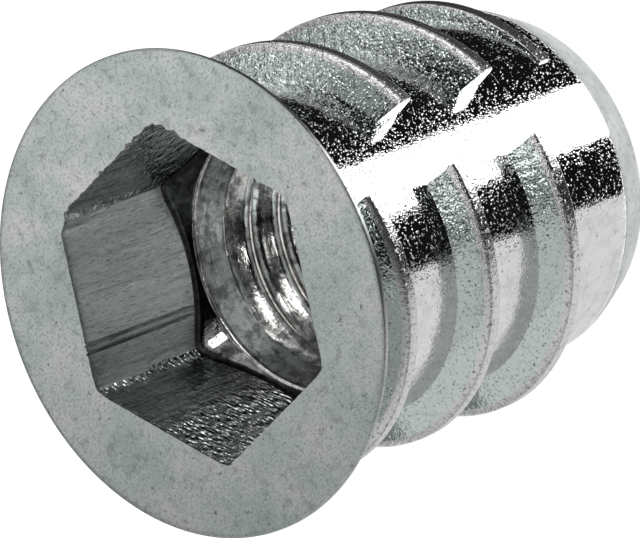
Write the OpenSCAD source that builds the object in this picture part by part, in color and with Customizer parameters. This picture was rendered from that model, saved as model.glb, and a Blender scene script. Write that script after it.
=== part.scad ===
// Threaded insert: a die-cast zinc nut that is driven into wood with a hex key.
// A thin flange holds the mouth of a hex socket, a threaded bore runs on from the
// socket to the nose, and coarse ridges wind round the body. Two smooth bands, in
// line with two corners of the socket, cut the ridges into half turns. The insert
// stands on its nose, with the flange on top and the bands on the X axis.

/* [Thread] */
// Nominal diameter of the screw that the insert takes
thread_d = 10; // [8:0.5:12]
// Pitch of that screw thread
thread_pitch = 1.5; // [1:0.25:1.75]

/* [Body] */
// Overall length, from the nose face to the flange face
length = 17.2; // [14:0.1:24]
// Thickness of the body outside each corner of the socket mouth
corner_wall = 0.2; // [0.15:0.05:1.5]
// How much smaller the nose face is than the body, in radius
nose_step = 0.65; // [0.2:0.05:0.9]
// Length of the taper at the nose
nose_taper = 1.5; // [0.4:0.1:2.5]

/* [Flange] */
// How far the flange reaches past the body
flange_reach = 2.3; // [1:0.1:4]
// Thickness of the flange at its rim
rim_t = 0.2; // [0.1:0.05:0.8]
// Depth from the flange face to the foot of the cone under it
neck_depth = 1.7; // [1.2:0.1:2.6]
// Radius of the fillet where that cone meets the body
neck_fillet = 0.6; // [0.2:0.1:1]

/* [Hex socket] */
// Play round a hex key as wide as the screw, across the flats at the socket floor
socket_play = 0.05; // [0:0.05:0.5]
// Depth of the socket below the flange face, at the middle of each wall
socket_depth = 5.8; // [3:0.1:8]
// Slope of the conical floor, which is shallower in the corners, in degrees
floor_slope = 42; // [5:1:55]
// Draft of each wall of the socket, in degrees
socket_draft = 1; // [0:0.1:2]

/* [Bore] */
// How much wider the bore's lead-in is than the bore, in radius, at the socket floor
lead_in = 0.55; // [0.1:0.05:0.7]
// Depth of that lead-in
lead_in_depth = 0.75; // [0.2:0.05:1.2]
// Depth of the countersink round the bore at the nose
nose_bevel = 0.55; // [0.2:0.05:0.6]

/* [Ridges] */
// Advance of the ridge in one turn
ridge_pitch = 4.3; // [3.4:0.1:5.2]
// Height of the ridge above the body
ridge_h = 1.15; // [0.5:0.05:1.4]
// Width of the ridge along its crest
crest_w = 0.45; // [0.1:0.05:0.7]
// Lean of the flank that faces the flange, in degrees
lead_lean = 19.5; // [12:0.5:30]
// Lean of the flank that faces the nose, in degrees
back_lean = 11; // [4:1:20]
// Depth from the flange face to the foot of the first ridge
ridge_start = 1.7; // [1.5:0.1:2.6]
// Width of each smooth band, straight across from one ridge end to the next
band_w = 2.65; // [1.5:0.05:6]
// Angle over which the first ridge rises to its full height, in degrees
run_in = 30; // [20:5:150]
// Angle over which the last ridge fades out, in degrees
run_out = 110; // [30:5:150]

/* [Hidden] */

// Sides of a full round, for the turned surfaces
$fn = 96;
// Angle between one section of a ridge and the next
ridge_step = 4;
// How deep each ridge is rooted in the body
ridge_root = 0.4;
// Share of its full height at which the ridge starts, and at which it ends
first_share = 0.9;
last_share = 0.06;
// How far a cut runs past the face that it opens
overcut = 0.1;

turn = 360;
half_turn = turn / 2;
hex_sides = 6;

socket_af = thread_d + socket_play;
mouth_af = socket_af + 2 * socket_depth * tan(socket_draft);
floor_z = length - socket_depth;
bore_r = (thread_d - thread_pitch) / 2;
lip_r = bore_r + lead_in;
lip_z = floor_z - (socket_af / 2 - lip_r) * tan(floor_slope);

body_r = mouth_af / 2 / cos(half_turn / hex_sides) + corner_wall;
nose_r = body_r - nose_step;
flange_r = body_r + flange_reach;

// The cone under the flange: its lean from the axis, its slant, and its fillet
cone_lean = atan2(flange_reach, neck_depth - rim_t);
cone_slant = norm([flange_reach, neck_depth - rim_t]);
fillet_r = min(neck_fillet, cone_slant / 2 / tan(cone_lean / 2));
fillet_z = length - neck_depth - fillet_r * tan(cone_lean / 2);
fillet_steps = 8;

// The half turns of ridge that fit between the flange and the nose taper
half_turns = floor((length - nose_taper - ridge_start) / (ridge_pitch / 2));
first_angle = end_angle(body_r + ridge_h);
last_angle = half_turns * half_turn - first_angle;

// Angle from the middle of a smooth band to the flat end of a ridge, at a radius
function end_angle(radius) = asin(band_w / 2 / radius);

// Share of its full height that the ridge has at an angle along its helix
function share(angle) =
    min(
        1,
        first_share + (1 - first_share) * (angle - first_angle) / run_in,
        last_share + (1 - last_share) * (last_angle - angle) / run_out
    );

// One section of the ridge, as [depth below its foot, radius], from the side that
// faces the flange to the side that faces the nose. Both flanks run on into the body.
function ridge_section(height) =
    let (
        lead_run = height * tan(lead_lean),
        back_run = height * tan(back_lean),
        crest_r = body_r + height,
        root_r = body_r - ridge_root
    )
    [
        [-ridge_root * tan(lead_lean), root_r],
        [lead_run, crest_r],
        [lead_run + crest_w, crest_r],
        [lead_run + crest_w + back_run + ridge_root * tan(back_lean), root_r]
    ];

// A point of the ridge. The angle runs clockwise seen from the flange, so the ridge
// goes deeper as the insert is driven with a right-hand turn.
function ridge_point(angle, corner) =
    [
        corner[1] * cos(angle),
        -corner[1] * sin(angle),
        length - ridge_start - ridge_pitch * angle / turn - corner[0]
    ];

// One half turn of ridge: a section every ridge_step degrees, skinned and capped.
// Each end is a flat face along its smooth band.
module ridge_half_turn(index) {
    start = index * half_turn;
    steps = ceil(half_turn / ridge_step);
    points = [
        for (i = [0:steps])
            let (angle = start + first_angle + (half_turn - 2 * first_angle) * i / steps)
            for (corner = ridge_section(ridge_h * share(angle)))
                let (gap = end_angle(corner[1]))
                ridge_point(start + gap + (half_turn - 2 * gap) * i / steps, corner)
    ];
    corners = len(ridge_section(ridge_h));
    sides = [
        for (i = [0:steps - 1], j = [0:corners - 1])
            let (
                a = i * corners + j,
                b = i * corners + (j + 1) % corners
            )
            each [[a, b, b + corners], [a, b + corners, a + corners]]
    ];
    start_cap = [for (j = [corners - 1:-1:0]) j];
    end_cap = [for (j = [0:corners - 1]) steps * corners + j];
    polyhedron(points = points, faces = concat([start_cap], sides, [end_cap]), convexity = 8);
}

// Turned blank: nose, body, neck and flange
module blank() {
    fillet = [
        for (i = [0:fillet_steps])
            let (angle = half_turn - cone_lean * i / fillet_steps)
            [body_r + fillet_r * (1 + cos(angle)), fillet_z + fillet_r * sin(angle)]
    ];
    rotate_extrude()
        polygon(concat(
            [[0, 0], [nose_r, 0], [body_r, nose_taper]],
            fillet,
            [[flange_r, length - rim_t], [flange_r, length], [0, length]]
        ));
}

// Half the width across the flats of the socket at a height
function half_af(z) = socket_af / 2 + (z - floor_z) * tan(socket_draft);

// Hex socket: three drafted slots across each other, so that every wall is flat,
// down to a conical floor
module socket() {
    low = lip_z - overcut;
    high = length + overcut;
    intersection() {
        intersection_for (side = [0:hex_sides / 2 - 1])
            rotate(side * turn / hex_sides)
                rotate([90, 0, 90])
                    linear_extrude(2 * flange_r, center = true)
                        polygon([
                            [-half_af(low), low],
                            [half_af(low), low],
                            [half_af(high), high],
                            [-half_af(high), high]
                        ]);
        rotate_extrude()
            polygon([
                [0, lip_z],
                [lip_r, lip_z],
                [flange_r, lip_z + (flange_r - lip_r) * tan(floor_slope)],
                [flange_r, high],
                [0, high]
            ]);
    }
}

// Through bore at the thread's minor diameter, with a lead-in at the socket floor
// and a countersink at the nose
module bore() {
    translate([0, 0, -overcut])
        cylinder(h = lip_z + 2 * overcut, r = bore_r);
    translate([0, 0, lip_z - lead_in_depth])
        cylinder(
            h = lead_in_depth + overcut,
            r1 = bore_r,
            r2 = bore_r + lead_in * (1 + overcut / lead_in_depth)
        );
    translate([0, 0, -overcut])
        cylinder(h = nose_bevel + overcut, r1 = bore_r + nose_bevel + overcut, r2 = bore_r);
}

// The whole insert, cast in one piece
module insert() {
    color([0.72, 0.76, 0.75])
        difference() {
            union() {
                blank();
                for (index = [0:half_turns - 1]) ridge_half_turn(index);
            }
            socket();
            bore();
        }
}

insert();
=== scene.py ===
import math

import bpy
import numpy as np
from mathutils import Matrix, Vector


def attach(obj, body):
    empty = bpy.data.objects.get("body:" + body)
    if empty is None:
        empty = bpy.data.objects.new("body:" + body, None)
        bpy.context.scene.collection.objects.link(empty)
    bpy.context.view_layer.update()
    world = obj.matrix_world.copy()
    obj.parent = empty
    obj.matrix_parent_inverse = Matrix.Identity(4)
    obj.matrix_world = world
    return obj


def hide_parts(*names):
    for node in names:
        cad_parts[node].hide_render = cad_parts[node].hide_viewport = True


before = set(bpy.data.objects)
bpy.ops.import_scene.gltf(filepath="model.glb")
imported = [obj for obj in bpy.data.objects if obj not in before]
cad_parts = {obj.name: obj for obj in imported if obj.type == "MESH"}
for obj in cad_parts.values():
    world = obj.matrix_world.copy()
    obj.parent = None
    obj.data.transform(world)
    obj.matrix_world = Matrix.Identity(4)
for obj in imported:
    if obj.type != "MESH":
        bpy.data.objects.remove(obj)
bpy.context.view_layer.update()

MM = 0.001
UM = 0.000001
TURN = 360.0
HALF_TURN = 180.0
QUARTER_TURN = 90.0


def tangent(angle):
    """The tangent of an angle in degrees."""
    return math.tan(math.radians(angle))


# The insert's sizes in millimetres and degrees, as in its CAD source
THREAD_D, THREAD_PITCH = 10.0, 1.5
LENGTH = 17.2
CORNER_WALL = 0.2
NOSE_STEP, NOSE_TAPER = 0.65, 1.5
FLANGE_REACH, RIM_T = 2.3, 0.2
NECK_DEPTH, NECK_FILLET = 1.7, 0.6
SOCKET_PLAY, SOCKET_DEPTH, SOCKET_DRAFT, FLOOR_SLOPE = 0.05, 5.8, 1.0, 42.0
LEAD_IN, LEAD_IN_DEPTH, NOSE_BEVEL = 0.55, 0.75, 0.55
RIDGE_PITCH, RIDGE_H, CREST_W = 4.3, 1.15, 0.45
LEAD_LEAN, BACK_LEAN = 19.5, 11.0
RIDGE_START, BAND_W = 1.7, 2.65
RUN_IN, RUN_OUT = 30.0, 110.0
FIRST_SHARE, LAST_SHARE = 0.9, 0.06

SOCKET_AF = THREAD_D + SOCKET_PLAY
MOUTH_AF = SOCKET_AF + 2 * SOCKET_DEPTH * tangent(SOCKET_DRAFT)
FLOOR_Z = LENGTH - SOCKET_DEPTH
BORE_R = (THREAD_D - THREAD_PITCH) / 2
LIP_R = BORE_R + LEAD_IN
LIP_Z = FLOOR_Z - (SOCKET_AF / 2 - LIP_R) * tangent(FLOOR_SLOPE)
BODY_R = MOUTH_AF / 2 / math.cos(math.pi / 6) + CORNER_WALL
NOSE_R = BODY_R - NOSE_STEP
FLANGE_R = BODY_R + FLANGE_REACH
HALF_TURNS = math.floor((LENGTH - NOSE_TAPER - RIDGE_START) / (RIDGE_PITCH / 2))
FIRST_ANGLE = math.degrees(math.asin(BAND_W / 2 / (BODY_R + RIDGE_H)))
LAST_ANGLE = HALF_TURNS * HALF_TURN - FIRST_ANGLE
FOOT_ANGLE = math.degrees(math.asin(BAND_W / 2 / BODY_R))
CONE_LEAN = math.atan2(FLANGE_REACH, NECK_DEPTH - RIM_T)
FILLET_Z = LENGTH - NECK_DEPTH - NECK_FILLET * math.tan(CONE_LEAN / 2)

# Looks of the skin, in the order of the mesh's material slots
# The socket floor's look is near-black painted shade
# The strip's look is a darker copy of the socket wall's, painted shade
FACE, SOCKET, SHADED_STRIP, TORN, PAINTED_SHADE, BORE, LIP, BODY, FLANK, BACK, CREST, NOSE = range(12)

# Marks of wear in the socket, and spans of painted shade and of a spot left without it, in degrees clockwise
# from +X
SCORES = (191.9, 194.7)
TORN_WALLS = ((120, 180), (240, 300))
TORN_CORNER = (178.9, 181)
# A spot of the socket floor left without its painted shade, so that a lamp glints there
UNSHADED_FLOOR_SPOT = (177, 181)
# Span of the mouth's edge painted dark as shade
SHADED_MOUTH_EDGE = (118, 300)
DRAGGED_EDGE = 276
WORN_CORNER = 240

# Rows of a ridge's section, from the flange side to the nose side: part, look and the rows' places.
# The feet and crest have places in millimetres, and the flanks and the flat between ridges have shares.
FLAT_ROWS = 8
FOOT_REACH = 0.25
RIDGE_PARTS = (
    ("lead_foot", FLANK, (-FOOT_REACH, -0.1, 0.0, 0.05)),
    ("lead", FLANK, (0.3, 0.5, 0.68)),
    ("crest_edge", CREST, (-0.09, -0.05, -0.02)),
    ("crest", CREST, (0.01, 0.045, 0.1, 0.225)),
    ("crest_end", CREST, (-0.1, -0.05, -0.02, 0.005, 0.03)),
    ("back", BACK, (0.75, 0.5, 0.25)),
    ("back_foot", BACK, (-0.03, 0.0, 0.03, 0.07, 0.12, FOOT_REACH)),
    ("flat", BODY, [(row + 1) / (FLAT_ROWS + 1) for row in range(FLAT_ROWS)]),
)
RIDGE_ROWS = [(part, look, place) for part, look, places in RIDGE_PARTS for place in places]

# Rows of one turn of the internal thread, in millimetres below the start of its crest
THREAD_ROWS = (0.0, 0.06, 0.13, 0.19, 0.25, 0.4, 0.55, 0.7, 0.8, 0.86, 0.95, 1.1, 1.25, 1.38)

# ---------------------------------------------------------------- mesh helpers


def smooth_min(a, b, width):
    """The lower of a and b, with the corner between them rounded over width."""
    mix = np.clip(0.5 + 0.5 * (b - a) / width, 0, 1)
    return b * (1 - mix) + a * mix - width * mix * (1 - mix)


def smooth_max(a, b, width):
    """The higher of a and b, with the corner between them rounded over width."""
    return -smooth_min(-a, -b, width)


def between(angles, span):
    """Which angles lie inside a span of two angles."""
    return (angles > span[0]) & (angles < span[1])


def ripple(angles, seed, waves, low, high):
    """Smooth seeded noise round the axis, about -1 to 1, from waves of low to high per turn."""
    rng = np.random.default_rng(seed)
    total = np.zeros_like(angles, dtype=float)
    for _ in range(waves):
        count = rng.integers(low, high + 1)
        total += rng.uniform(0.4, 1.0) * np.sin(np.radians(count * angles + rng.uniform(0, TURN)))
    return total / math.sqrt(waves)


class Skin:
    """One closed surface in columns round the Z axis. Angles run clockwise from +X, seen from the flange."""

    SHARP_ANGLE = 48

    def __init__(self, angles):
        self.angles = angles
        self.points = []
        self.count = 0
        self.faces = []
        self.looks = []

    def add(self, angles, radius, z):
        """New vertices at matching angles, radii and heights. Returns their numbers."""
        rad = np.radians(angles)
        radius, z = np.broadcast_to(radius, rad.shape), np.broadcast_to(z, rad.shape)
        self.points.append(np.stack([radius * np.cos(rad), -radius * np.sin(rad), z], -1))
        ids = np.arange(self.count, self.count + len(rad))
        self.count += len(rad)
        return ids

    def row(self, radius, z):
        """A ring of vertices, one for each column."""
        return self.add(self.angles, radius, z)

    def quads(self, a, b, c, d, look):
        """Faces between matching vertex lists. A face that has shrunk to a line is left out."""
        look = np.broadcast_to(look, a.shape)
        for corners, kind in zip(np.stack([a, b, c, d], -1).tolist(), look.tolist()):
            kept = [v for i, v in enumerate(corners) if v != corners[i - 1]]
            if len(kept) > 2:
                self.faces.append(kept)
                self.looks.append(kind)

    def join(self, first, second, look):
        """Faces between two rings, in the order flange face, rim, body, nose, bore, socket."""
        self.quads(first, np.roll(first, -1), np.roll(second, -1), second, look)

    def rings(self, start, path, look):
        """Rings along a path of [radius, z], joined on to the ring start. Returns the last ring."""
        for radius, z in path:
            ring = self.row(radius, z)
            self.join(start, ring, look)
            start = ring
        return start

    def helix(self, rings, ends, table, rows_a_turn, downward):
        """A band between two rings, the upper one first, whose rows follow a right-handed helix.
        ends: the rings' heights. table: angle, radius, z and look, each as [row, column]."""
        (top, bottom), (top_z, bottom_z) = rings, ends
        angles, radius, z, looks = table
        ids = np.full(z.shape, -1)
        inside = (z < top_z) & (z > bottom_z)
        ids[inside] = self.add(angles[inside], radius[inside], z[inside])
        ids = np.where(z >= top_z, top, np.where(z <= bottom_z, bottom, ids))
        spare_rows = (rows_a_turn + 1, len(top))
        above, below = np.broadcast_to(top, spare_rows), np.broadcast_to(bottom, spare_rows)
        ids = np.concatenate([above, ids, below])
        first_look, last_look = np.broadcast_to(looks[0], spare_rows), np.broadcast_to(looks[-1], spare_rows)
        kinds = np.concatenate([first_look, looks, last_look])
        # The last column meets the first column's row of one turn later
        after = np.concatenate([ids[rows_a_turn:, :1], np.repeat(bottom[:1], rows_a_turn)[:, None]])
        ids = np.concatenate([ids, after], 1)
        upper, lower = ids[:-1], ids[1:]
        if not downward:
            upper, lower = lower, upper
        corners = (upper[:, :-1], upper[:, 1:], lower[:, 1:], lower[:, :-1])
        self.quads(*(c.ravel() for c in corners), kinds[:-1].ravel())

    def build(self, name, materials):
        """The skin as a new object. Vertices that no face uses are left out."""
        points = np.concatenate(self.points) * MM
        used = np.unique(np.concatenate([np.array(face) for face in self.faces]))
        lookup = np.full(self.count, -1)
        lookup[used] = np.arange(len(used))
        mesh = bpy.data.meshes.new(name)
        mesh.from_pydata(points[used].tolist(), [], [[int(lookup[v]) for v in face] for face in self.faces])
        for material in materials:
            mesh.materials.append(material)
        mesh.polygons.foreach_set("material_index", self.looks)
        mesh.polygons.foreach_set("use_smooth", [True] * len(mesh.polygons))
        mesh.set_sharp_from_angle(angle=math.radians(self.SHARP_ANGLE))
        mesh.update()
        obj = bpy.data.objects.new(name, mesh)
        bpy.context.scene.collection.objects.link(obj)
        return obj


def both_ways(middles, gaps):
    """Angles at each gap to both sides of each middle."""
    return {(middle + way * gap) % TURN for middle in middles for way in (-1, 1) for gap in gaps}


def column_angles():
    """Column angles in even steps, with more at the ridge ends, the socket's corners and its scores."""
    step, least_gap = 1.6, 0.55
    at_ends = [FOOT_ANGLE + gap for gap in (-4, -2, -0.9, -0.35, -0.12, 0.0, 0.3, 0.8, 1.6)]
    at_corners = (0.0, 0.5, 1.0, 1.6, 2.3, 3.2)
    at_scores = (-0.6, -0.25, 0.0, 0.25, 0.6, 0.95)
    fine = both_ways((0, 180), at_ends) | both_ways(range(0, 360, 60), at_corners)
    fine |= {score + gap for score in SCORES for gap in at_scores}
    fine = np.array(sorted(fine))
    even = np.arange(0, TURN, step)
    gap = np.abs((even[:, None] - fine[None, :] + HALF_TURN) % TURN - HALF_TURN).min(1)
    return np.sort(np.concatenate([fine, even[gap > least_gap]]))


# ---------------------------------------------------------------- ridges and thread


def share(angle):
    """Share of its full height that the ridge has at an angle along its helix."""
    rising = FIRST_SHARE + (1 - FIRST_SHARE) * (angle - FIRST_ANGLE) / RUN_IN
    fading = LAST_SHARE + (1 - LAST_SHARE) * (LAST_ANGLE - angle) / RUN_OUT
    return np.minimum(1, np.minimum(rising, fading))


def blank_radius(z):
    """Radius of the turned blank under the ridges, at a height."""
    up = np.clip((z - FILLET_Z) / NECK_FILLET, 0, 1)
    return BODY_R + NECK_FILLET * (1 - np.sqrt(1 - up ** 2))


def ridge_cap(angle, past, height, fine):
    """Height that the flat ends leave of a ridge. past: degrees from the nearest flat end, into the ridge.
    The last column before a flat end has no ridge, and the next has its crest corner rounded off."""
    corner_round, clear = 0.1, 1
    no_ridge = (past < -0.01) | (angle < 0) | (angle > HALF_TURNS * HALF_TURN)
    at_corner = past < 0.1
    return np.where(no_ridge, 0, np.where(at_corner, height - corner_round * fine, height + clear))


def ridge_turn(angle):
    """Angle, radius, z and look of each row of one turn of the ridges. The rows follow their helix."""
    foot_round, crest_round, edge_round, row_gap, least_fine = 0.002, 0.2, 0.02, 0.002, 0.12
    lead, back = tangent(LEAD_LEAN), tangent(BACK_LEAN)
    height = RIDGE_H * np.clip(share(np.clip(angle, FIRST_ANGLE, LAST_ANGLE)), LAST_SHARE, 1)
    # Rows and roundings draw together where the ridge is low
    fine = np.clip(height / RIDGE_H, least_fine, 1)
    to_crest = height * lead
    to_back = to_crest + CREST_W
    width = to_back + height * back
    # Where each part's places count from, and in what unit
    spans = {
        "lead_foot": (0, fine),
        "lead": (0, to_crest),
        "crest_edge": (to_crest, fine),
        "crest": (to_crest, 1),
        "crest_end": (to_back, fine),
        "back": (width, -height * back),
        "back_foot": (width, fine),
        "flat": (width + FOOT_REACH * fine, RIDGE_PITCH - width - 2 * FOOT_REACH * fine),
    }
    past = np.minimum(angle % HALF_TURN, HALF_TURN - angle % HALF_TURN) - FOOT_ANGLE
    cap = ridge_cap(angle, past, height, fine)
    depth = np.full(angle.shape, -1.0)
    rows = []
    for part, part_look, place in RIDGE_ROWS:
        start, unit = spans[part]
        depth = np.maximum(start + place * unit, depth + row_gap)
        top = smooth_min(depth / lead, (width - depth) / back, edge_round * fine)
        top = smooth_min(top, height, crest_round * fine)
        top = smooth_min(top, cap, edge_round * fine)
        lift = np.where(cap > 0, smooth_max(top, 0, foot_round * fine), 0)
        lift = np.clip(lift, 0, None)
        # The flat ends run along the band, so the higher a point is, the nearer to the band it reaches
        reach = FOOT_ANGLE - np.degrees(np.arcsin(BAND_W / 2 / (BODY_R + lift)))
        towards_end = (angle % HALF_TURN - QUARTER_TURN) / (QUARTER_TURN - FOOT_ANGLE)
        turned = angle + reach * np.clip(towards_end, -1, 1)
        z = LENGTH - RIDGE_START - RIDGE_PITCH * turned / TURN - depth
        raised = (lift > 0.01) | ((part, place) == ("lead_foot", 0.0))
        look = np.where((cap > 0) & raised & (past > 0.05), part_look, BODY)
        rows.append((turned, np.maximum(BODY_R + lift, blank_radius(z)), z, look))
    return rows


def ridge_table(columns):
    """Angle, radius, z and look of each row of the ridged body, with a spare turn at each end."""
    rows = [row for turn in range(-1, HALF_TURNS // 2 + 2) for row in ridge_turn(turn * TURN + columns)]
    return [np.array(values) for values in zip(*rows)]


def thread_table(columns, top_z, bottom_z):
    """Angle, radius, z and look of each row of the internal thread, a 60 degree form with flat crests."""
    flank_angle, groove_depth, crest_flat, fade = 60, 0.75, 0.19, 0.8
    root_round, crest_round = 0.08, 0.05
    # The height and angle at which one crest starts set where all the crests lie
    crest_z, crest_angle = 7.75, 160.9
    first = crest_z + THREAD_PITCH * (math.ceil((top_z - crest_z) / THREAD_PITCH) + 2)
    rows = []
    for turn in range(math.ceil((first - bottom_z) / THREAD_PITCH) + 2):
        for place in THREAD_ROWS:
            z = first - THREAD_PITCH * (turn + (columns + crest_angle) / TURN) - place
            off = abs(place - crest_flat / 2)
            groove = (min(off, THREAD_PITCH - off) - crest_flat / 2) * tangent(flank_angle)
            groove = smooth_min(smooth_max(groove, 0, crest_round), groove_depth, root_round)
            ends = np.clip(np.minimum(top_z - z, z - bottom_z) / fade, 0, 1)
            rows.append((columns, BORE_R + groove * ends, z, np.full(columns.shape, BORE)))
    return [np.array(values) for values in zip(*rows)]


# ---------------------------------------------------------------- the insert's surfaces


def hex_radius(angles, across_flats, shrink=0.0):
    """Distance from the axis to the wall of a hexagon with corners on the X axis.
    shrink: how much the wall draws in for each millimetre of radius, where a cone meets it."""
    corner_round = 0.2
    half, cosine = across_flats / 2 * (1 - shrink), np.cos(np.radians(angles % 60 - 30))
    corner = half / (math.cos(math.pi / 6) - shrink)
    return smooth_min(half / (cosine - shrink), corner - corner_round / 3, corner_round)


def score_depth(angles):
    """Depth of the scores in one wall. Each is a groove with a low burr beside it."""
    groove, groove_half, burr, burr_half, burr_at = 0.08, 0.5, 0.07, 0.3, 0.6
    grooves = sum(np.clip(1 - np.abs(angles - at) / groove_half, 0, 1) * groove for at in SCORES)
    return grooves - sum(np.clip(1 - np.abs(angles - at - burr_at) / burr_half, 0, 1) * burr for at in SCORES)


def ragged_edge(angles):
    """How far the mouth's edge strays outward. It is ragged where the punch dragged the metal."""
    steep, narrow = 10, 7.6
    everywhere, where_dragged, in_bites, bite_depth = 0.006, 0.04, 0.09, 0.1
    drag = 0.5 + 0.5 * np.tanh(steep * np.cos(np.radians(angles - DRAGGED_EDGE)) - narrow)
    bites = np.clip(ripple(angles, seed=5, waves=6, low=7, high=22), 0, 1)
    teeth = ripple(angles, seed=3, waves=18, low=30, high=105)
    return teeth * (everywhere + drag * (where_dragged + in_bites * bites)) + bite_depth * drag * bites


class SocketShape:
    """The hex socket in each column: its mouth, its conical floor and the marks of wear on its walls."""

    def __init__(self, angles):
        worn_depth, worn_half, ease, edge_ease = 0.2, 3, 0.01, 0.02
        slope = tangent(FLOOR_SLOPE)
        self.floor = hex_radius(angles, SOCKET_AF, slope * tangent(SOCKET_DRAFT))
        self.floor_z = LIP_Z + (self.floor - LIP_R) * slope
        worn_corner = worn_depth * np.exp(-((angles - WORN_CORNER) / worn_half) ** 2)
        self.mouth = hex_radius(angles, MOUTH_AF) - worn_corner + ease
        self.score = score_depth(angles)
        self.ragged = ragged_edge(angles)
        self.edge = self.mouth + edge_ease + np.maximum(self.ragged, -edge_ease) + self.score

    def wall(self, level):
        """Radius and height of the wall at a level, from 0 at the floor to 1 at the mouth."""
        ragged_from, ragged_gain, score_gain = 0.95, 8, 4
        radius = self.floor + (self.mouth - self.floor) * level + self.score * min(1, score_gain * level)
        radius = radius + max(0, level - ragged_from) * self.ragged * ragged_gain
        return radius, self.floor_z + (LENGTH - self.floor_z) * level


def fillet_point(lean):
    """Radius and height of the fillet under the flange, where its surface leans by an angle in radians."""
    return BODY_R + NECK_FILLET * (1 - math.cos(lean)), FILLET_Z + NECK_FILLET * math.sin(lean)


def add_flange(skin, mouth_ring, socket):
    """The flange face, its rim and the cone and fillet under it. Returns the last ring and its height."""
    edge_width, face_end, ridge_gap = 0.05, FLANGE_R - 0.05, 0.15
    # Over part of its round, the mouth's edge takes the floor's near-black look, painted shade along the edge
    outline = np.where(between(skin.angles, SHADED_MOUTH_EDGE), PAINTED_SHADE, FACE)
    ring = skin.rings(mouth_ring, [(socket.edge + edge_width, LENGTH)], outline)
    face = [(socket.mouth + (face_end - socket.mouth) * part, LENGTH)
            for part in (0.16, 0.3, 0.5, 0.7, 0.86, 0.95)]
    ring = skin.rings(ring, face, FACE)
    # Rows round the rim, by how far they lie in from it and down from the face
    rim = ((0.05, 0), (0.02, 0.01), (0.005, 0.03), (0, 0.06), (0, RIM_T - 0.05), (0.01, RIM_T - 0.01))
    ring = skin.rings(ring, [(FLANGE_R - inward, LENGTH - down) for inward, down in rim], FACE)
    top, bottom = (FLANGE_R, LENGTH - RIM_T), fillet_point(CONE_LEAN)
    cone = [tuple(a + (b - a) * part for a, b in zip(top, bottom))
            for part in (0.04, 0.2, 0.4, 0.6, 0.8, 1.0)]
    ring = skin.rings(ring, cone, BACK)
    end_z = LENGTH - RIDGE_START - RIDGE_PITCH * FIRST_ANGLE / TURN + ridge_gap
    end_lean = math.asin((end_z - FILLET_Z) / NECK_FILLET)
    ring = skin.rings(ring, [fillet_point(lean) for lean in np.linspace(CONE_LEAN, end_lean, 7)[1:]], BODY)
    return ring, end_z


def add_body(skin, ring, top_z):
    """The ridged body, from the fillet under the flange to just above the nose."""
    nose_gap = 0.35
    bottom_z = NOSE_TAPER + nose_gap
    low_ring = skin.row(BODY_R, bottom_z)
    skin.helix((ring, low_ring), (top_z, bottom_z), ridge_table(skin.angles), len(RIDGE_ROWS), downward=True)
    return low_ring


def add_nose(skin, ring):
    """The taper with its rounded ends, the nose face and the countersink of the bore."""
    ring = skin.rings(ring, [(BODY_R, NOSE_TAPER + 0.16)], BODY)
    taper_start = [(BODY_R - 0.02, NOSE_TAPER + 0.04), (BODY_R - 0.06, NOSE_TAPER - 0.08)]
    taper = [(BODY_R + (NOSE_R - BODY_R) * part, NOSE_TAPER * (1 - part))
             for part in (0.15, 0.35, 0.55, 0.75, 0.9)]
    taper_end = [(NOSE_R + 0.01, 0.06), (NOSE_R - 0.04, 0.01), (NOSE_R - 0.1, 0.0)]
    bevel_r = BORE_R + NOSE_BEVEL
    face = [(bevel_r + 0.25, 0.0), (bevel_r + 0.03, 0.0)]
    ring = skin.rings(ring, taper_start + taper + taper_end + face, NOSE)
    bevel = [(BORE_R + NOSE_BEVEL * part, NOSE_BEVEL * (1 - part)) for part in (0.95, 0.5, 0.0)]
    return skin.rings(ring, bevel, BORE)


def add_bore(skin, ring):
    """The threaded bore, and its lead-in up to the bead at the socket's floor."""
    bore_top = LIP_Z - LEAD_IN_DEPTH
    throat = skin.row(BORE_R, bore_top)
    table = thread_table(skin.angles, bore_top, NOSE_BEVEL)
    skin.helix((throat, ring), (bore_top, NOSE_BEVEL), table, len(THREAD_ROWS), downward=False)
    lip = [(BORE_R + LEAD_IN * part, bore_top + LEAD_IN_DEPTH * part) for part in (0.06, 0.3, 0.6, 0.9, 0.97)]
    bead = ((-0.015, 0.04), (0.02, 0.075), (0.07, 0.09), (0.11, 0.095))
    return skin.rings(throat, lip + [(LIP_R + out, LIP_Z + up) for out, up in bead], LIP)


def add_socket(skin, ring, mouth_ring, socket):
    """The conical floor and the six walls, up to the mouth."""
    rows = [(LIP_R + (socket.floor - LIP_R) * part, LIP_Z + (socket.floor_z - LIP_Z) * part)
            for part in (0.2, 0.4, 0.7, 0.9)]
    # The floor takes the near-black look, painted shade at the bottom of the socket
    ring = skin.rings(ring, rows[:1], PAINTED_SHADE)
    # Two floor rows keep a spot in the body's bright look instead of the painted shade
    ring = skin.rings(ring, rows[1:3], np.where(between(skin.angles, UNSHADED_FLOOR_SPOT), BODY, PAINTED_SHADE))
    ring = skin.rings(ring, rows[3:], PAINTED_SHADE)
    # The strip between one corner and the farther score takes a darker copy of the wall's look, painted shade
    look = np.where(between(skin.angles, (HALF_TURN, SCORES[1])), SHADED_STRIP, SOCKET)
    for span in TORN_WALLS:
        look = np.where(between(skin.angles, span), TORN, look)
    deep_look = np.where(between(skin.angles, TORN_CORNER), TORN, look)
    # The lowest wall rows take the floor's near-black look, painted shade where the walls meet the floor
    low, deep, high = (0.01, 0.03), (0.08, 0.2, 0.35, 0.5), (0.65, 0.8, 0.9, 0.96, 0.985)
    for levels, zone_look in ((low, PAINTED_SHADE), (deep, deep_look), (high, look)):
        ring = skin.rings(ring, [socket.wall(level) for level in levels], zone_look)
    skin.join(ring, mouth_ring, look)


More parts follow.
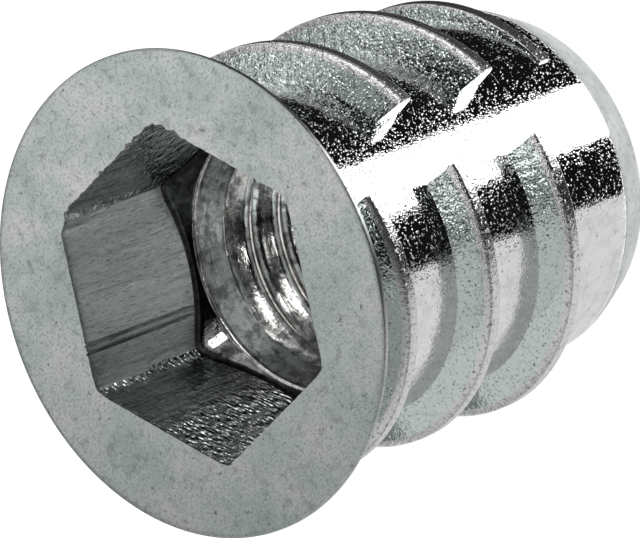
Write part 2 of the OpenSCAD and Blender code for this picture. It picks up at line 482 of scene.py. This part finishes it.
def insert_skin(materials):
    """The whole insert as one closed skin, from the socket's mouth round by the nose and back."""
    angles = column_angles()
    skin, socket = Skin(angles), SocketShape(angles)
    mouth_ring = skin.row(socket.edge, LENGTH)
    ring, body_top = add_flange(skin, mouth_ring, socket)
    ring = add_body(skin, ring, body_top)
    ring = add_nose(skin, ring)
    ring = add_bore(skin, ring)
    add_socket(skin, ring, mouth_ring, socket)
    return skin.build("insert_skin", materials)


# ---------------------------------------------------------------- materials


class Nodes:
    """Short ways to make and link the nodes of one metal."""

    def __init__(self, name):
        self.material = bpy.data.materials.new(name)
        self.material.use_nodes = True
        self.tree = self.material.node_tree
        self.shader = self.tree.nodes["Principled BSDF"]
        self.place = self.add("ShaderNodeTexCoord").outputs["Object"]

    def add(self, kind, **values):
        """A new node with some of its settings."""
        node = self.tree.nodes.new(kind)
        for key, value in values.items():
            setattr(node, key, value)
        return node

    def put(self, value, socket):
        """Sets a socket to a number or a colour, or links an output to it."""
        if isinstance(value, (int, float)):
            socket.default_value = value
        elif isinstance(value, tuple):
            socket.default_value = (*value, 1)
        else:
            self.tree.links.new(value, socket)

    def stretched(self, stretch):
        """Places in the insert, scaled along each axis."""
        mapping = self.add("ShaderNodeMapping")
        mapping.inputs["Scale"].default_value = stretch
        self.put(self.place, mapping.inputs["Vector"])
        return mapping.outputs["Vector"]

    def noise(self, scale, detail, roughness, stretch=(1, 1, 1)):
        """Cloudy noise, 0 to 1."""
        noise = self.add("ShaderNodeTexNoise")
        for name, value in (("Scale", scale), ("Detail", detail), ("Roughness", roughness)):
            noise.inputs[name].default_value = value
        self.put(self.stretched(stretch), noise.inputs["Vector"])
        return noise.outputs["Fac"]

    def cells(self, scale, stretch=(1, 1, 1)):
        """Distance from the middle of the nearest of many small cells."""
        cells = self.add("ShaderNodeTexVoronoi", feature="SMOOTH_F1")
        cells.inputs["Scale"].default_value = scale
        self.put(self.stretched(stretch), cells.inputs["Vector"])
        return cells.outputs["Distance"]

    def dents(self, scale, size):
        """Height of separate round dents, each of its own depth. size: radius as a share of their spacing."""
        cells = self.add("ShaderNodeTexVoronoi")
        cells.inputs["Scale"].default_value = scale
        self.put(self.place, cells.inputs["Vector"])
        dent = self.remap(cells.outputs["Distance"], (0.0, size), (1.0, 0.0), "SMOOTHSTEP")
        depth = self.ramp(cells.outputs["Color"], [(0.3, 0.1), (0.85, 1.0)])
        return self.multiply(dent, depth)

    def across(self, stops):
        """A value that changes with Y, from -8 mm to 8 mm."""
        split = self.add("ShaderNodeSeparateXYZ")
        self.put(self.place, split.inputs[0])
        return self.ramp(self.remap(split.outputs["Y"], (-8 * MM, 8 * MM), (0.0, 1.0), "LINEAR"), stops)

    def remap(self, source, span, result, kind):
        """Takes a value from one span to another."""
        remap = self.add("ShaderNodeMapRange", interpolation_type=kind)
        for name, value in zip(("From Min", "From Max", "To Min", "To Max"), (*span, *result)):
            remap.inputs[name].default_value = value
        self.put(source, remap.inputs["Value"])
        return remap.outputs["Result"]

    def ramp(self, source, stops):
        """Takes a value through stops of a position and a grey or a colour."""
        ramp = self.add("ShaderNodeValToRGB")
        ends = ramp.color_ramp.elements
        while len(ends) < len(stops):
            ends.new(0.5)
        for element, (position, value) in zip(ends, stops):
            element.position = position
            colour = value if isinstance(value, tuple) else (value, value, value)
            element.color = (*colour, 1)
        self.put(source, ramp.inputs["Fac"])
        return ramp.outputs["Color"]

    def blend(self, factor, a, b, mode="MIX"):
        """Mixes b into a by a factor."""
        mix = self.add("ShaderNodeMix", data_type="RGBA", blend_type=mode)
        colour_a, colour_b = mix.inputs[6], mix.inputs[7]
        for value, socket in ((factor, mix.inputs["Factor"]), (a, colour_a), (b, colour_b)):
            self.put(value, socket)
        return mix.outputs[2]

    def multiply(self, a, b):
        """Multiplies two colours."""
        return self.blend(1.0, a, b, "MULTIPLY")

    def darken(self, colour, source, stops):
        """Multiplies a colour by a source that is taken through stops."""
        return self.multiply(colour, self.ramp(source, stops))

    def bump(self, height, depth, strength=1.0, after=None):
        """The normal of a relief of some depth in metres, laid over the normal after."""
        bump = self.add("ShaderNodeBump")
        self.put(strength, bump.inputs["Strength"])
        bump.inputs["Distance"].default_value = depth
        self.put(height, bump.inputs["Height"])
        if after is not None:
            self.put(after, bump.inputs["Normal"])
        return bump.outputs["Normal"]

    def finish(self, colour, roughness, normal, metallic=1.0):
        """Feeds the shader and returns the material."""
        for name, value in (("Base Color", colour), ("Roughness", roughness), ("Metallic", metallic),
                            ("Normal", normal)):
            self.put(value, self.shader.inputs[name])
        return self.material


def flange_zinc():
    """Satin flange face with pinkish clouds, a fine grain and a few small pits."""
    m = Nodes("zinc_flange")
    clouds = m.noise(420, 6, 0.68)
    grain = m.noise(11000, 4, 0.7)
    green, grey, pink = (0.52, 0.575, 0.56), (0.60, 0.65, 0.64), (0.70, 0.69, 0.68)
    colour = m.ramp(clouds, [(0.36, green), (0.50, grey), (0.64, pink)])
    colour = m.darken(colour, grain, [(0.32, 0.56), (0.52, 1.0)])
    colour = m.darken(colour, m.noise(2600, 4, 0.6), [(0.30, 0.72), (0.46, 1.0)])
    colour = m.darken(colour, m.noise(3600, 3, 0.6), [(0.29, 0.45), (0.34, 1.0)])
    roughness = m.ramp(clouds, [(0.3, 0.36), (0.7, 0.30)])
    return m.finish(colour, roughness, m.bump(grain, 6 * UM))


def socket_zinc(name, dark, light):
    """Broached socket wall with streaks along the axis, between two shares of full brightness."""
    m = Nodes(name)
    streaks = m.noise(5200, 5, 0.7, (1, 1, 0.03))
    scratches = m.noise(20000, 3, 0.65, (1, 1, 0.12))
    dark_streak, streak, light_streak = (0.54, 0.60, 0.595), (0.88, 0.95, 0.945), (0.93, 0.99, 0.985)
    colour = m.ramp(streaks, [(0.30, dark_streak), (0.46, streak), (0.7, light_streak)])
    colour = m.darken(colour, m.noise(700, 5, 0.65, (1, 1, 0.3)), [(0.35, dark), (0.55, light)])
    colour = m.darken(colour, scratches, [(0.36, 0.45), (0.46, 1.0)])
    roughness = m.ramp(streaks, [(0.3, 0.38), (0.7, 0.22)])
    normal = m.bump(streaks, 30 * UM)
    normal = m.bump(scratches, 8 * UM, 1.0, normal)
    normal = m.bump(m.noise(7000, 2, 0.6), 10 * UM, 1.0, normal)
    return m.finish(colour, roughness, normal)


def torn_zinc():
    """Streaked socket wall where the punch tore patches of the metal into scales, with pale matt flakes
    painted on as their bright glints.
    """
    m = Nodes("zinc_torn")
    streaks = m.noise(5200, 5, 0.7, (1, 1, 0.05))
    scratches = m.noise(12000, 3, 0.65, (1, 1, 0.07))
    dark_streak, streak, light_streak = (0.40, 0.43, 0.425), (0.86, 0.89, 0.88), (0.96, 0.97, 0.97)
    colour = m.ramp(streaks, [(0.32, dark_streak), (0.48, streak), (0.7, light_streak)])
    colour = m.darken(colour, scratches, [(0.36, 0.35), (0.48, 1.0)])
    # The metal is torn most at the far end of one wall and along the corner that lies on -X
    where = m.across([(0.32, 1.0), (0.38, 0.2), (0.47, 0.1), (0.49, 1.0), (0.51, 1.0), (0.54, 0.35)])
    torn = m.darken(where, m.noise(2200, 5, 0.75, (1, 1, 0.5)), [(0.38, 0.0), (0.50, 1.0)])
    normal = m.bump(streaks, 20 * UM)
    normal = m.bump(scratches, 8 * UM, 1.0, normal)
    normal = m.bump(m.cells(7500, (0.45, 0.45, 1)), 360 * UM, torn, normal)
    # Pale matt flakes on the torn patches: painted highlight for the scales' glints
    painted_glint_flakes = m.ramp(m.noise(8000, 4, 0.7, (1, 1, 0.35)), [(0.60, 0.0), (0.64, 1.0)])
    painted_glint_flakes = m.multiply(torn, painted_glint_flakes)
    colour = m.blend(painted_glint_flakes, colour, (0.97, 0.98, 0.98))
    return m.finish(colour, 0.12, normal, m.ramp(painted_glint_flakes, [(0.0, 1.0), (1.0, 0.0)]))


def painted_shade_zinc():
    """Near-black, mottled look: painted shade on the socket's floor."""
    m = Nodes("zinc_painted_shade")
    mottle = m.noise(2600, 5, 0.7)
    black, dark, grey = (0.03, 0.031, 0.031), (0.10, 0.102, 0.1), (0.2, 0.2, 0.195)
    colour = m.ramp(mottle, [(0.36, black), (0.56, dark), (0.7, grey)])
    return m.finish(colour, 0.12, m.bump(mottle, 12 * UM))


def bore_zinc(name, dark, light):
    """Cut thread with circular tool marks and small burrs, between two shares of full brightness."""
    m = Nodes(name)
    marks = m.noise(6500, 4, 0.65, (0.08, 0.08, 1))
    burrs = m.noise(2600, 4, 0.7)
    colour = m.ramp(marks, [(0.3, (0.60, 0.58, 0.565)), (0.65, (0.86, 0.85, 0.83))])
    colour = m.darken(colour, burrs, [(0.40, dark), (0.54, light)])
    normal = m.bump(marks, 20 * UM, 0.7)
    normal = m.bump(burrs, 20 * UM, 0.6, normal)
    return m.finish(colour, 0.12, normal)


def body_zinc():
    """Bright body with the fine orange peel of cast and plated zinc."""
    m = Nodes("zinc_body")
    colour = m.ramp(m.noise(1500, 5, 0.65), [(0.34, (0.80, 0.805, 0.805)), (0.55, (0.97, 0.975, 0.975))])
    colour = m.darken(colour, m.noise(5500, 3, 0.6), [(0.30, 0.55), (0.36, 1.0)])
    normal = m.bump(m.noise(1800, 2, 0.5), 10 * UM)
    normal = m.bump(m.noise(9000, 2, 0.6), 5 * UM, 1.0, normal)
    # The dents are deep by the smooth bands and shallow away from them
    deep = m.across([(0.20, 0.3), (0.31, 1.0), (0.64, 1.0), (0.74, 0.3)])
    normal = m.bump(m.dents(7600, 0.4), 22 * UM, deep, normal)
    normal = m.bump(m.dents(13000, 0.42), 11 * UM, deep, normal)
    return m.finish(colour, 0.02, normal)


def flank_zinc():
    """Ridge flank with a finely hammered, pitted skin."""
    m = Nodes("zinc_flank")
    peel = m.noise(9000, 3, 0.65)
    tone = m.ramp(peel, [(0.31, (0.16, 0.19, 0.185)), (0.40, (0.68, 0.745, 0.73)), (0.7, (0.80, 0.85, 0.84))])
    # The hammering is heavy by the smooth bands on the -Y side, and away from them on the +Y side
    heavy = m.across([(0.20, 0.12), (0.40, 1.0), (0.55, 0.5), (0.66, 0.35), (0.85, 1.0)])
    normal = m.bump(m.noise(3200, 2, 0.5), 70 * UM, heavy)
    normal = m.bump(peel, 20 * UM, heavy, normal)
    normal = m.bump(m.cells(12000), 20 * UM, heavy, normal)
    normal = m.bump(m.dents(7500, 0.36), 20 * UM, 1.0, normal)
    normal = m.bump(m.dents(6000, 0.42), 50 * UM, heavy, normal)
    return m.finish(tone, 0.07, normal)


def back_zinc():
    """Smoother back flank of a ridge, and the cone under the flange."""
    m = Nodes("zinc_back")
    peel = m.noise(6000, 3, 0.6)
    tone = m.ramp(peel, [(0.32, (0.66, 0.70, 0.69)), (0.6, (0.86, 0.89, 0.88))])
    return m.finish(tone, 0.06, m.bump(peel, 4 * UM))


def crest_zinc():
    """Worn, pitted crest land, a little duller toward +Y."""
    m = Nodes("zinc_crest")
    peel = m.noise(7500, 3, 0.65)
    tone = m.ramp(peel, [(0.30, (0.34, 0.35, 0.35)), (0.44, (0.84, 0.83, 0.83)), (0.7, (0.94, 0.93, 0.93))])
    normal = m.bump(peel, 28 * UM)
    normal = m.bump(m.dents(6500, 0.4), 40 * UM, 1.0, normal)
    return m.finish(tone, 0.22, normal, m.across([(0.42, 1.0), (0.56, 0.88)]))


def nose_zinc():
    """Pale, satin taper at the nose."""
    m = Nodes("zinc_nose")
    peel = m.noise(6000, 3, 0.6)
    tone = m.ramp(m.noise(1200, 5, 0.6), [(0.35, (0.42, 0.445, 0.44)), (0.65, (0.57, 0.585, 0.58))])
    tone = m.darken(tone, peel, [(0.32, 0.6), (0.45, 1.0)])
    return m.finish(tone, 0.36, m.bump(peel, 10 * UM))


# ---------------------------------------------------------------- stage, in metres unless it says otherwise

FLOOR_HALF = 1.5
CARD_STEPS = 24
CARD_LIFT = 0.0002


def empty_material(name):
    """A material whose node tree holds only an output. Returns the material, its tree and the output."""
    material = bpy.data.materials.new(name)
    material.use_nodes = True
    tree = material.node_tree
    tree.nodes.clear()
    return material, tree, tree.nodes.new("ShaderNodeOutputMaterial")


def math_node(tree, operation, first, second):
    """A Math node on an output and a second output or a number. Returns its result."""
    node = tree.nodes.new("ShaderNodeMath")
    node.operation = operation
    tree.links.new(first, node.inputs[0])
    if isinstance(second, float):
        node.inputs[1].default_value = second
    else:
        tree.links.new(second, node.inputs[1])
    return node.outputs[0]


def floor_material():
    """White floor: lit as paper is, and lifted to plain white where it is seen or mirrored."""
    paper_tone, lift = 0.86, 0.78
    material, tree, out = empty_material("white_floor")
    paper = tree.nodes.new("ShaderNodeBsdfDiffuse")
    paper.inputs["Color"].default_value = (paper_tone, paper_tone, paper_tone, 1)
    glow = tree.nodes.new("ShaderNodeEmission")
    glow.inputs["Color"].default_value = (1, 1, 1, 1)
    path = tree.nodes.new("ShaderNodeLightPath").outputs
    seen = math_node(tree, "MAXIMUM", path["Is Camera Ray"], path["Is Glossy Ray"])
    seen = math_node(tree, "MAXIMUM", seen, path["Is Transmission Ray"])
    tree.links.new(math_node(tree, "MULTIPLY", seen, lift), glow.inputs["Strength"])
    both = tree.nodes.new("ShaderNodeAddShader")
    tree.links.new(paper.outputs[0], both.inputs[0])
    tree.links.new(glow.outputs[0], both.inputs[1])
    tree.links.new(both.outputs[0], out.inputs["Surface"])
    return material


def card_material(name, tone, strength=1.0):
    """A card of one even grey, 0 for black and 1 for white. Above a strength of 1 it mirrors as a lamp."""
    material, tree, out = empty_material(name)
    glow = tree.nodes.new("ShaderNodeEmission")
    glow.inputs["Color"].default_value = (tone, tone, tone, 1)
    glow.inputs["Strength"].default_value = strength
    tree.links.new(glow.outputs[0], out.inputs["Surface"])
    return material


def stage_strip(name, near, far, material):
    """A strip of faces between two matching rows of points, as a piece of the stage."""
    mesh = bpy.data.meshes.new(name)
    count = len(near)
    faces = [(i, i + 1, count + i + 1, count + i) for i in range(count - 1)]
    mesh.from_pydata([tuple(point) for point in near + far], [], faces)
    mesh.materials.append(material)
    obj = bpy.data.objects.new(name, mesh)
    bpy.context.scene.collection.objects.link(obj)
    return obj


def card(name, near, far, material):
    """A card that only the metal sees, as a patch in its reflection."""
    sheet = stage_strip(name, near, far, material)
    sheet.visible_camera = sheet.visible_diffuse = sheet.visible_shadow = sheet.visible_transmission = False


def floor_card(name, azimuths, material):
    """A card flat by the insert. It fills what the body mirrors between two azimuths of its wall."""
    # The card's near and far edges, in millimetres from the wall, and the turn from the camera to +X
    gap, reach, camera_turn = 1.0, 30.0, 19.1
    near, far = [], []
    for a in np.radians(np.linspace(*azimuths, CARD_STEPS)):
        way = 2 * a + math.radians(camera_turn)
        for row, out in ((near, gap), (far, reach)):
            x = BODY_R * math.cos(a) + out * math.cos(way)
            y = BODY_R * math.sin(a) + out * math.sin(way)
            row.append((x * MM, y * MM, CARD_LIFT))
    card(name, near, far, material)


def standing_card(name, azimuths, distance, low, high, material):
    """A card that stands round the insert, between two heights."""
    turns = np.radians(np.linspace(*azimuths, CARD_STEPS))
    rows = [[(distance * math.cos(a), distance * math.sin(a), z) for a in turns] for z in (low, high)]
    card(name, *rows, material)


def hanging_card(name, centre, radius, material):
    """A level disc over the insert, made as a strip whose two edges stay a hair apart at its ends."""
    steps, hair = 17, 1e-5
    x, y, z = centre
    turns = np.linspace(0, math.pi, steps)
    rows = [[(x + radius * math.cos(a), y + side * radius * math.sin(a) + side * hair, z) for a in turns]
            for side in (-1, 1)]
    card(name, *rows, material)


def direction(azimuth, elevation):
    """The unit vector toward an azimuth and an elevation in degrees."""
    az, el = math.radians(azimuth), math.radians(elevation)
    return Vector((math.cos(el) * math.cos(az), math.cos(el) * math.sin(az), math.sin(el)))


def softbox(name, azimuth, elevation, distance, size, brightness):
    """A rectangular soft light that faces the insert. A brightness of 1 mirrors as white."""
    light = bpy.data.lights.new(name, "AREA")
    light.shape = "RECTANGLE"
    light.size, light.size_y = size
    light.energy = brightness * math.pi * size[0] * size[1]
    obj = bpy.data.objects.new(name, light)
    way = direction(azimuth, elevation)
    obj.location = way * distance + Vector((0, 0, LENGTH / 2 * MM))
    obj.rotation_mode = "QUATERNION"
    obj.rotation_quaternion = way.to_track_quat("Z", "Y")
    bpy.context.scene.collection.objects.link(obj)


def make_camera():
    """The camera, far off with a long lens, turned so that the insert's nose points up and to the right."""
    azimuth, elevation, roll = -19.07, 46.95, math.radians(-110.42)
    aim, distance = Vector((2.77, -1.71, 14.24)) * MM, 0.75
    back = direction(azimuth, elevation)
    level_right, level_up = direction(azimuth + QUARTER_TURN, 0), direction(azimuth, elevation + QUARTER_TURN)
    right = math.cos(roll) * level_right + math.sin(roll) * level_up
    up = -math.sin(roll) * level_right + math.cos(roll) * level_up
    data = bpy.data.cameras.new("camera")
    data.lens, data.sensor_width, data.sensor_fit = 1263.9, 36.0, "HORIZONTAL"
    data.clip_start, data.clip_end = 0.05, 20.0
    camera = bpy.data.objects.new("camera", data)
    camera.rotation_mode = "QUATERNION"
    camera.rotation_quaternion = Matrix((right, up, back)).transposed().to_quaternion()
    camera.location = aim + back * distance
    bpy.context.scene.collection.objects.link(camera)
    bpy.context.scene.camera = camera


def make_world():
    """Plain view settings and a dim, even studio."""
    bpy.context.scene.view_settings.view_transform = "Standard"
    world = bpy.data.worlds.new("studio")
    bpy.context.scene.world = world
    world.use_nodes = True
    background = world.node_tree.nodes["Background"]
    background.inputs["Color"].default_value = (0.19, 0.2, 0.2, 1)
    background.inputs["Strength"].default_value = 1.0


def make_floor():
    """The square floor under the insert."""
    near, far = ([(x, y, 0) for x in (-FLOOR_HALF, FLOOR_HALF)] for y in (-FLOOR_HALF, FLOOR_HALF))
    stage_strip("floor", near, far, floor_material())


def make_cards():
    """The cards that the metal mirrors as its dark, grey and white bands."""
    black, pale = card_material("black_card", 0.006), card_material("pale_card", 0.66)
    low, side = card_material("low_card", 0.45), card_material("grey_card", 0.37)
    floor_card("card_upper", (1, 70), black)
    floor_card("card_band", (-18, 1), card_material("white_card", 1, 3.0))
    floor_card("card_lower", (-37, -18), black)
    floor_card("card_pale", (-100, -37), pale)
    standing_card("card_horizon", (-53, 72), 0.034, 0.0004, 0.026, black)
    standing_card("card_low", (28, 72), 0.033, 0.0004, 0.012, low)
    standing_card("card_side", (-150, -53), 0.034, 0.0004, 0.026, side)
    standing_card("card_left", (96, 150), 0.08, 0.054, 0.095, black)
    standing_card("card_front", (-72, 12), 0.08, 0.062, 0.24, black)
    hanging_card("card_zenith", (-0.01, -0.005, 0.24), 0.08, black)


def make_lamps():
    """The soft lights: azimuth, elevation, distance, size and brightness."""
    softbox("key", 68, 42, 0.8, (0.75, 0.16), 2.4)
    softbox("key_high", 40, 63, 0.8, (0.2, 0.2), 3.6)
    softbox("spark", 20, 46, 0.8, (0.1, 0.1), 6.0)
    softbox("glint", -25, 68, 0.07, (0.0065, 0.0065), 8.0)
    softbox("back_top", 142, 53, 0.085, (0.042, 0.042), 0.9)
    softbox("left_top", 110, 60, 0.3, (0.1, 0.1), 0.45)
    softbox("back_low", -140, 45, 0.3, (0.34, 0.3), 0.42)


make_world()
make_floor()
make_cards()
make_lamps()
make_camera()
# The strip's material is the socket wall's made darker, painted shade
skin = insert_skin([
    flange_zinc(), socket_zinc("zinc_socket", 0.8, 1.0), socket_zinc("zinc_strip_painted_shade", 0.4, 0.75), torn_zinc(),
    painted_shade_zinc(), bore_zinc("zinc_bore", 0.35, 1.0), bore_zinc("zinc_lip", 0.4, 0.95),
    body_zinc(), flank_zinc(), back_zinc(), crest_zinc(), nose_zinc(),
])
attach(skin, "root")
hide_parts("insert")
